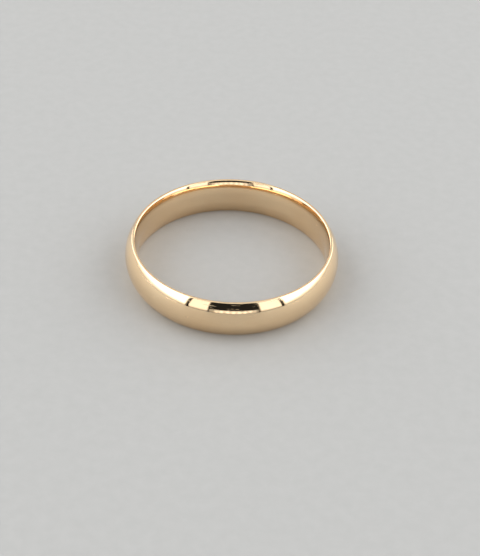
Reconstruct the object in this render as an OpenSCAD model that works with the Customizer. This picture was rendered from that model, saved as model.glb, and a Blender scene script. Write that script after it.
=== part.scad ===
/* [Ring size] */
// Inside diameter at the narrowest part of the bore
inner_d = 18.9; // [14:0.05:24]
// Width of the band, from side face to side face
band_w = 4.0; // [2.5:0.1:8]

/* [Section] */
// Thickness of the band at its side edges
rim_t = 0.35; // [0.35:0.05:1]
// Height of the outside dome above the side edges
dome_h = 0.65; // [0.2:0.05:0.8]
// Depth of the comfort curve on the inside, from the bore to the side edges
comfort_h = 0.3; // [0.1:0.05:0.4]
// Rounding of the outer corner, where the dome meets the side face
outer_round = 0.12; // [0.05:0.01:0.15]
// Rounding of the inner corner, where the comfort curve meets the side face
inner_round = 0.15; // [0.05:0.01:0.15]
// Width of the straight land at the middle of the bore
bore_land = 1.0; // [0.4:0.1:1.2]

/* [Hidden] */
$fn = 360;

// Heights are measured from the middle plane of the band; the finished band stands on z = 0
half_w = band_w / 2;
half_land = bore_land / 2;
bore_r = inner_d / 2;
crown_r = bore_r + comfort_h + rim_t + dome_h;

// Centres of the corner roundings, as [radius, height]
outer_c = [crown_r - dome_h - outer_round, half_w - outer_round];
inner_c = [bore_r + comfort_h + inner_round, half_w - inner_round];

// The dome is one arc, tangent to both outer roundings
dome_rise = crown_r - outer_c.x;
dome_r = (dome_rise^2 + outer_c.y^2 - outer_round^2) / (2 * dome_h);
dome_c = crown_r - dome_r;
dome_end = atan2(outer_c.y, outer_c.x - dome_c);

// The comfort curve is an arc each side of the land, tangent to it and to the inner rounding
curve_rise = inner_c.x - bore_r;
curve_run = inner_c.y - half_land;
curve_r = (curve_rise^2 + curve_run^2 - inner_round^2) / (2 * comfort_h);
curve_c = bore_r + curve_r;
curve_end = 180 - atan2(curve_run, curve_c - inner_c.x);

// The sliver of a corner that lies outside its rounding, between two directions
module corner_waste(centre, r, from, to) {
    far = band_w;
    mid = (from + to) / 2;
    translate(centre) difference() {
        polygon([
            [0, 0],
            far * [cos(from), sin(from)],
            2 * far * [cos(mid), sin(mid)],
            far * [cos(to), sin(to)],
        ]);
        circle(r);
    }
}

// Everything outside the comfort-shaped bore
module around_finger() {
    translate([bore_r, -half_land]) square([crown_r, bore_land]);
    for (side = [-1, 1])
        translate([curve_c, side * half_land]) circle(curve_r);
    translate([curve_c, -half_w]) square([crown_r, band_w]);
}

// The cross-section: domed outside, comfort curve inside, narrow flat sides
module section() {
    difference() {
        intersection() {
            translate([dome_c, 0]) circle(dome_r);
            around_finger();
            translate([dome_c, -half_w]) square([2 * dome_r, band_w]);
        }
        for (side = [0, 1]) mirror([0, side]) {
            corner_waste(outer_c, outer_round, dome_end, 90);
            corner_waste(inner_c, inner_round, 90, curve_end);
        }
    }
}

// The band lies flat, with its axis upright
module band() {
    color("goldenrod")
        translate([0, 0, half_w])
            rotate_extrude() section();
}

band();
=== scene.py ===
"""Polished yellow-gold wedding band, lying flat on a pale floor under soft studio light."""
from math import atan2, cos, degrees, dist, pi, radians, sin

import bpy
from mathutils import Matrix, Vector, noise


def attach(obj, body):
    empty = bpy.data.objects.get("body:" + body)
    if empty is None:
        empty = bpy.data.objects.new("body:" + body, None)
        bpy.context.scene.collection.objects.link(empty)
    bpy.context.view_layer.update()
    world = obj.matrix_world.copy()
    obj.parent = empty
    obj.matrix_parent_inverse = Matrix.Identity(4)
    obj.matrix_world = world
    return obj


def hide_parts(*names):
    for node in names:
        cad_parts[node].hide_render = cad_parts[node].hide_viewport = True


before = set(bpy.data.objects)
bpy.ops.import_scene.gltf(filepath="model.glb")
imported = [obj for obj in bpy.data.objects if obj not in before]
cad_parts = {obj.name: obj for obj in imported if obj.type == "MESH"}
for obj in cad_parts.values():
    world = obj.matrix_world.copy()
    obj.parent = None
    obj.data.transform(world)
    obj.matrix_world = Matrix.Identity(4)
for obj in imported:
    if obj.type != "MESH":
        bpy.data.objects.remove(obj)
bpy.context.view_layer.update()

MM = 0.001             # a millimetre, in metres

# ---------------------------------------------------------------- the ring, in millimetres
BORE_R = 9.45          # inside radius at the land
BAND_W = 4.0           # side face to side face
RIM_T = 0.35           # wall at the side edges
DOME_H = 0.65          # outside dome above the side edges
COMFORT_H = 0.30       # depth of the comfort curve
OUTER_ROUND = 0.12     # rounding of the outer corners
INNER_ROUND = 0.15     # rounding of the inner corners
LAND = 1.0             # straight middle of the bore

HALF_W = BAND_W / 2
SIDE_R = BORE_R + COMFORT_H + RIM_T  # outside radius at the side edges
CROWN_R = SIDE_R + DOME_H            # outside radius at the crown
GIRTH = 2 * pi * SIDE_R              # the length that one whole unit of the UVs stands for

# Segments around the ring, and along each stretch of its section
AROUND = 512
DOME_STEPS = 43        # half the dome
ROUND_STEPS = 8        # a corner rounding
FLAT_STEPS = 2         # a side face
CURVE_STEPS = 15       # one arc of the comfort curve
LAND_STEPS = 5         # half the land

HAND_POLISH = 0.0022   # how far the polished surface wanders
POLISH_SCALE = 0.32    # waves of that wander per mm


def arc(centre, radius, start, end, steps):
    """Points on an arc between two angles in degrees, each with the direction the arc faces there."""
    out = []
    for i in range(steps + 1):
        a = radians(start + (end - start) * i / steps)
        out.append((centre[0] + radius * cos(a), centre[1] + radius * sin(a), cos(a), sin(a)))
    return out


def line(p, q, facing, steps):
    """Points of a straight run from p to q, without its ends, all facing one way."""
    out = []
    for i in range(1, steps):
        t = i / steps
        out.append((p[0] + (q[0] - p[0]) * t, p[1] + (q[1] - p[1]) * t, *facing))
    return out


def section():
    """The closed cross-section, from the middle of the bore round to it again.

    Each point is its radius, its height above the middle of the band, and the direction
    that its surface faces, outwards and up.
    """
    outer = (SIDE_R - OUTER_ROUND, HALF_W - OUTER_ROUND)
    inner = (BORE_R + COMFORT_H + INNER_ROUND, HALF_W - INNER_ROUND)

    # The dome is one arc, tangent to both outer roundings
    rise = CROWN_R - outer[0]
    dome_r = (rise**2 + outer[1] ** 2 - OUTER_ROUND**2) / (2 * DOME_H)
    dome_c = CROWN_R - dome_r
    dome_end = degrees(atan2(outer[1], outer[0] - dome_c))

    # The comfort curve is an arc each side of the land, tangent to it and to the inner rounding
    rise = inner[0] - BORE_R
    run = inner[1] - LAND / 2
    curve_r = (rise**2 + run**2 - INNER_ROUND**2) / (2 * COMFORT_H)
    curve_c = BORE_R + curve_r
    curve_end = 180 - degrees(atan2(run, curve_c - inner[0]))

    # The upper half runs from the crown over the side face to the middle of the bore
    upper = arc((dome_c, 0), dome_r, 0, dome_end, DOME_STEPS)
    upper += arc(outer, OUTER_ROUND, dome_end, 90, ROUND_STEPS)[1:]
    upper += line(upper[-1], (inner[0], HALF_W), (0, 1), FLAT_STEPS)
    upper += arc(inner, INNER_ROUND, 90, curve_end, ROUND_STEPS)
    upper += arc((curve_c, LAND / 2), curve_r, curve_end, 180, CURVE_STEPS)[1:]
    upper += line((BORE_R, LAND / 2), (BORE_R, 0), (-1, 0), LAND_STEPS)
    upper.append((BORE_R, 0, -1, 0))

    # The lower half mirrors it, without the crown and the bore's middle again
    lower = [(r, -z, face_r, -face_z) for r, z, face_r, face_z in reversed(upper[1:-1])]
    return upper[-1:] + lower + upper[:-1]


def lathe(name, profile):
    """Turns the section into a closed ring whose surface wanders a little, as hand polishing leaves it."""
    count = len(profile)
    verts = []
    for i in range(AROUND):
        a = 2 * pi * i / AROUND
        for r, z, face_r, face_z in profile:
            place = Vector((r * cos(a), r * sin(a), z))
            # The side faces stay flat
            wander = HAND_POLISH * (1 - face_z**2) * noise.noise(place * POLISH_SCALE)
            out_r = r + face_r * wander
            height = z + face_z * wander + HALF_W
            verts.append((out_r * cos(a) * MM, out_r * sin(a) * MM, height * MM))
    faces = []
    for i in range(AROUND):
        j = (i + 1) % AROUND
        for k in range(count):
            m = (k + 1) % count
            faces.append((i * count + k, j * count + k, j * count + m, i * count + m))
    mesh = bpy.data.meshes.new(name)
    mesh.from_pydata(verts, [], faces)
    mesh.polygons.foreach_set("use_smooth", [True] * len(faces))

    # UVs run once around the ring, and along the section at the same scale
    along = [0.0]
    for k in range(count):
        along.append(along[-1] + dist(profile[k][:2], profile[(k + 1) % count][:2]))
    uv = mesh.uv_layers.new(name="UVMap")
    corner = 0
    for i in range(AROUND):
        u0, u1 = i / AROUND, (i + 1) / AROUND
        for k in range(count):
            v0, v1 = along[k] / GIRTH, along[k + 1] / GIRTH
            for pair in ((u0, v0), (u1, v0), (u1, v1), (u0, v1)):
                uv.data[corner].uv = pair
                corner += 1
    mesh.validate()
    obj = bpy.data.objects.new(name, mesh)
    bpy.context.scene.collection.objects.link(obj)
    return obj


# ---------------------------------------------------------------- shader nodes
class Nodes:
    """Makes and wires the nodes of one tree; a value is a number, a colour or another node's output."""

    def __init__(self, tree):
        self.tree = tree

    def add(self, kind, inputs=None, **settings):
        node = self.tree.nodes.new(kind)
        for key, value in settings.items():
            setattr(node, key, value)
        for key, value in (inputs or {}).items():
            if isinstance(value, bpy.types.NodeSocket):
                self.tree.links.new(value, node.inputs[key])
            else:
                node.inputs[key].default_value = value
        return node

    def math(self, operation, a, b=0.0):
        return self.add("ShaderNodeMath", {0: a, 1: b}, operation=operation).outputs[0]

    def ramp(self, value, low, high, at_low=0.0, at_high=1.0, **settings):
        """Goes from at_low to at_high as the value goes from low to high, and no further."""
        inputs = {"Value": value, "From Min": low, "From Max": high, "To Min": at_low, "To Max": at_high}
        return self.add("ShaderNodeMapRange", inputs, **settings).outputs["Result"]

    def mix(self, factor, a, b):
        inputs = {"Factor": factor, "A": a, "B": b}
        return self.add("ShaderNodeMix", inputs, data_type="RGBA").outputs["Result"]

    def noise(self, vector, scale, detail=2.0, roughness=0.5):
        inputs = {"Vector": vector, "Scale": scale, "Detail": detail, "Roughness": roughness}
        return self.add("ShaderNodeTexNoise", inputs).outputs["Fac"]

    def mapped(self, vector, scale=(1, 1, 1), turn=0.0, shift=(0, 0, 0)):
        inputs = {"Vector": vector, "Scale": scale, "Rotation": (0, 0, radians(turn)), "Location": shift}
        return self.add("ShaderNodeMapping", inputs).outputs["Vector"]


# ---------------------------------------------------------------- gold
GOLD_DEEP = (0.920, 0.670, 0.410, 1)
GOLD_PALE = (0.948, 0.718, 0.458, 1)
# painted sheen: a paler gold that the hairlines get, standing in for the light they scatter
GOLD_PAINTED_SHEEN = (0.980, 0.800, 0.560, 1)
PAINTED_SHEEN_SHARE = 0.35    # share of the painted sheen colour, a paler gold, in the hairlines

POLISHED = 0.040       # roughness where nothing has touched it, and what each kind of wear adds
HAZE_ROUGH = 0.035
EDGE_ROUGH = 0.03
HAIR_ROUGH = 0.20
NICK_ROUGH = 0.15

PEEL_DEPTH = 0.0030    # in mm
HAIR_DEPTH = 0.0040
NICK_DEPTH = 0.0120

EDGE_BEGINS = HALF_W - 0.50  # mm from the middle of the band, where wear at the side edges begins
EDGE_WORN = HALF_W - 0.10    # and where it is full

# Marks: turn in degrees, waves per mm along and across them, noise level where they begin, weight
HAIRLINES = (
    (4, 0.30, 9.0, 0.640, 1.00),
    (-17, 0.35, 7.0, 0.655, 0.80),
    (38, 0.45, 6.0, 0.665, 0.75),
    (-62, 0.40, 6.5, 0.670, 0.65),
)
NICKS = (
    (-28, 0.9, 4.2, 0.735, 1.0),
    (57, 1.1, 3.8, 0.745, 0.9),
    (8, 0.8, 4.5, 0.745, 0.8),
)
SHIFT_PER_DEGREE = 0.7  # moves each direction to its own part of the noise


def marks(nodes, skin, table, softness):
    """Thin marks in several directions, from noise stretched along each."""
    total = 0.0
    for turn, along, across, begin, weight in table:
        shift = (turn * SHIFT_PER_DEGREE, across, 0)
        stretched = nodes.mapped(skin, scale=(along, across, 1), turn=turn, shift=shift)
        level = nodes.noise(stretched, scale=1.0, detail=3.0, roughness=0.62)
        lines = nodes.ramp(level, begin, begin + softness)
        total = nodes.math("MAXIMUM", total, nodes.math("MULTIPLY", lines, weight))
    return total


def gold_material():
    mat = bpy.data.materials.new("polished_yellow_gold")
    mat.use_nodes = True
    mat.node_tree.nodes.clear()
    nodes = Nodes(mat.node_tree)
    coord = nodes.add("ShaderNodeTexCoord")
    skin = nodes.mapped(coord.outputs["UV"], scale=(GIRTH, GIRTH, 1))  # mm over the surface
    solid = nodes.mapped(coord.outputs["Object"], scale=(1 / MM, 1 / MM, 1 / MM))  # mm in space

    # Wear gathers at the side edges and comes in patches elsewhere
    height = nodes.add("ShaderNodeSeparateXYZ", {0: solid}).outputs["Z"]
    off_middle = nodes.math("ABSOLUTE", nodes.math("SUBTRACT", height, HALF_W))
    edges = nodes.ramp(off_middle, EDGE_BEGINS, EDGE_WORN)
    patches = nodes.ramp(nodes.noise(solid, scale=0.35), low=0.40, high=0.66, at_low=0.20)
    wear = nodes.math("MAXIMUM", edges, patches)
    hair = nodes.math("MULTIPLY", marks(nodes, skin, HAIRLINES, softness=0.05), wear)
    nicks = marks(nodes, skin, NICKS, softness=0.03)

    # Soft haze of handling, and a faint orange-peel left by the polishing wheel
    haze = nodes.ramp(nodes.noise(solid, scale=0.55, detail=4.0, roughness=0.6), low=0.45, high=0.75)
    peel = nodes.noise(solid, scale=1.3)

    # The alloy is a touch paler from place to place, at random; the hairlines, real wear marks, also get a
    # paler gold as painted sheen for the light they catch
    tone = nodes.ramp(nodes.noise(solid, scale=0.22), low=0.3, high=0.7)
    colour = nodes.mix(tone, GOLD_DEEP, GOLD_PALE)
    colour = nodes.mix(nodes.math("MULTIPLY", hair, PAINTED_SHEEN_SHARE), colour, GOLD_PAINTED_SHEEN)

    rough = POLISHED
    for layer, share in ((haze, HAZE_ROUGH), (edges, EDGE_ROUGH), (hair, HAIR_ROUGH), (nicks, NICK_ROUGH)):
        rough = nodes.math("ADD", rough, nodes.math("MULTIPLY", layer, share))

    normal = None
    reliefs = ((peel, PEEL_DEPTH, False), (hair, HAIR_DEPTH, True), (nicks, NICK_DEPTH, True))
    for relief, depth, sunk in reliefs:
        inputs = {"Strength": 1.0, "Distance": depth * MM, "Height": relief}
        if normal is not None:
            inputs["Normal"] = normal
        normal = nodes.add("ShaderNodeBump", inputs, invert=sunk).outputs["Normal"]

    shader = nodes.add(
        "ShaderNodeBsdfPrincipled",
        {"Metallic": 1.0, "Base Color": colour, "Roughness": rough, "Normal": normal},
    )
    nodes.add("ShaderNodeOutputMaterial", {"Surface": shader.outputs["BSDF"]})
    return mat


band = lathe("gold_band", section())
band.data.materials.append(gold_material())
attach(band, "root")
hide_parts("band")

# ---------------------------------------------------------------- floor
FLOOR_HALF = 1.5       # half its side, in metres
FLOOR_DARK = (0.36, 0.36, 0.352, 1)
FLOOR_PALE = (0.40, 0.40, 0.392, 1)
FLOOR_ROUGH = 0.55
FLOOR_GRAIN = 900.0    # waves per metre


def floor_material():
    mat = bpy.data.materials.new("pale_floor")
    mat.use_nodes = True
    nodes = Nodes(mat.node_tree)
    coord = nodes.add("ShaderNodeTexCoord")
    grain = nodes.noise(coord.outputs["Object"], FLOOR_GRAIN)
    colour = nodes.mix(grain, FLOOR_DARK, FLOOR_PALE)
    shader = mat.node_tree.nodes["Principled BSDF"]
    mat.node_tree.links.new(colour, shader.inputs["Base Color"])
    shader.inputs["Roughness"].default_value = FLOOR_ROUGH
    return mat


floor_corners = [(x * FLOOR_HALF, y * FLOOR_HALF, 0) for x, y in ((-1, -1), (1, -1), (1, 1), (-1, 1))]
floor_mesh = bpy.data.meshes.new("floor")
floor_mesh.from_pydata(floor_corners, [], [(0, 1, 2, 3)])
floor_mesh.materials.append(floor_material())
floor = bpy.data.objects.new("floor", floor_mesh)
bpy.context.scene.collection.objects.link(floor)

# ---------------------------------------------------------------- light, in metres
ROOM_COLOUR = (0.97, 0.98, 1.0, 1)
SURROUND = 0.02        # how bright the room is that the gold mirrors between the lights
BACKDROP = 0.50        # and how bright it shows above the floor in low views

EDGE_LEVEL = 0.25      # share of its light that a softbox keeps at its very edge
ROW_LEVEL = 0.65       # and between two of its rows of lamps

RIG_H = 1.00           # height of the walls and cards, and of the panel overhead
WALL_X = 0.50          # walls left and right of the ring
WALL_END = 0.76        # y of their far ends, behind the ring
CARD_Y = -0.60         # cards and low strip, on the camera's side of the ring
STRIP_X = 0.056        # the strip's middle, a little to the right
STRIP_SIZE = (0.54, 0.126)


def light_room():
    """A dim room for the gold to mirror, which looks pale to the camera."""
    world = bpy.data.worlds.new("studio")
    bpy.context.scene.world = world
    world.use_nodes = True
    nodes = Nodes(world.node_tree)
    seen = nodes.add("ShaderNodeLightPath").outputs["Is Camera Ray"]
    background = world.node_tree.nodes["Background"]
    background.inputs["Color"].default_value = ROOM_COLOUR
    world.node_tree.links.new(nodes.ramp(seen, 0, 1, SURROUND, BACKDROP), background.inputs["Strength"])


def softbox(name, at, aim, size, radiance, fade=(0.10, 0.10), rows=0):
    """A diffused rectangular light at a place, facing a point.

    fade is the share of its width and of its height over which it dims at each edge;
    rows splits it into that many upright lines of lamps behind the diffuser.
    """
    light = bpy.data.lights.new(name, "AREA")
    light.shape = "RECTANGLE"
    light.size, light.size_y = size
    light.energy = radiance * pi * size[0] * size[1]  # the power that gives this radiance
    light.use_nodes = True
    nodes = Nodes(light.node_tree)
    geometry = nodes.add("ShaderNodeNewGeometry")
    place = nodes.add("ShaderNodeSeparateXYZ", {0: geometry.outputs["Parametric"]})
    level = 1.0
    for axis, share in zip("XY", fade):
        off_middle = nodes.math("ABSOLUTE", nodes.math("SUBTRACT", place.outputs[axis], 0.5))
        inward = nodes.math("SUBTRACT", 0.5, off_middle)
        dimmed = nodes.ramp(inward, 0.0, share, EDGE_LEVEL, 1.0, interpolation_type="SMOOTHSTEP")
        level = nodes.math("MULTIPLY", level, dimmed)
    if rows:
        wave = nodes.math("SINE", nodes.math("MULTIPLY", place.outputs["X"], 2 * pi * rows))
        level = nodes.math("MULTIPLY", level, nodes.ramp(wave, -1, 1, ROW_LEVEL, 1.0))
    light.node_tree.links.new(level, light.node_tree.nodes["Emission"].inputs["Strength"])
    obj = bpy.data.objects.new(name, light)
    bpy.context.scene.collection.objects.link(obj)
    obj.location = at
    obj.rotation_euler = (Vector(aim) - Vector(at)).to_track_quat("-Z", "Y").to_euler()
    obj.visible_camera = False


light_room()

# Walls of light left and right, as their x and the y of their near ends
for x, near in ((-WALL_X, -0.55), (WALL_X, -0.37)):
    y = (near + WALL_END) / 2
    softbox(
        "wall_light",
        at=(x, y, RIG_H / 2),
        aim=(0, y, RIG_H / 2),
        size=(WALL_END - near, RIG_H),
        radiance=2.7,
        fade=(0.03, 0.14),
    )

# Paler cards behind the camera, left and right of it, as inner and outer x
for inner_x, outer_x in ((-0.224, -0.500), (0.336, 0.750)):
    x = (inner_x + outer_x) / 2
    softbox(
        "front_light",
        at=(x, CARD_Y, RIG_H / 2),
        aim=(x, 0, RIG_H / 2),
        size=(abs(outer_x - inner_x), RIG_H),
        radiance=1.5,
        fade=(0.06, 0.10),
    )

# A low strip of lamps that stands on the floor behind the camera
softbox(
    "low_light",
    at=(STRIP_X, CARD_Y, STRIP_SIZE[1] / 2),
    aim=(STRIP_X, 0, STRIP_SIZE[1] / 2),
    size=STRIP_SIZE,
    radiance=1.6,
    fade=(0.22, 0.22),
    rows=9,
)

# One panel overhead and a dimmer one behind
softbox("overhead_light", at=(0, 0.20, RIG_H), aim=(0, 0.20, 0), size=(1.00, 0.72), radiance=1.6)
softbox("back_light", at=(0, 0.80, 0.52), aim=(0, 0, 0.52), size=(1.40, 0.88), radiance=0.75)

# ---------------------------------------------------------------- camera
CAM_ELEVATION = 38.8   # degrees above the floor
CAM_DISTANCE = 0.140   # from the middle of the ring, in metres
CAM_ROLL = -2.4        # degrees; below zero, the right side sits lower in the picture
CAM_CLIP = (0.005, 5.0)  # metres
LENS = 89.8            # mm
AIM_OFFSET = (0.82, -2.48)  # where the view's centre falls from the ring's, right and up, in mm


def place_camera():
    """Looks at the ring's middle, rolls, then turns to put the ring at its place in the picture."""
    ring_mid = Vector((0, 0, HALF_W * MM))
    elevation = radians(CAM_ELEVATION)
    eye = ring_mid + CAM_DISTANCE * Vector((0, -cos(elevation), sin(elevation)))
    forward = (ring_mid - eye).normalized()
    level_right = forward.cross(Vector((0, 0, 1))).normalized()
    level_up = level_right.cross(forward)
    roll = radians(CAM_ROLL)
    right = level_right * cos(roll) - level_up * sin(roll)
    up = level_up * cos(roll) + level_right * sin(roll)

    target = ring_mid + (right * AIM_OFFSET[0] + up * AIM_OFFSET[1]) * MM
    forward = (target - eye).normalized()
    right = forward.cross(up).normalized()
    up = right.cross(forward)

    data = bpy.data.cameras.new("camera")
    data.lens = LENS
    data.clip_start, data.clip_end = CAM_CLIP
    camera = bpy.data.objects.new("camera", data)
    camera.matrix_world = Matrix.Translation(eye) @ Matrix((right, up, -forward)).transposed().to_4x4()
    bpy.context.scene.collection.objects.link(camera)
    bpy.context.scene.camera = camera


place_camera()
bpy.context.scene.view_settings.view_transform = "Standard"
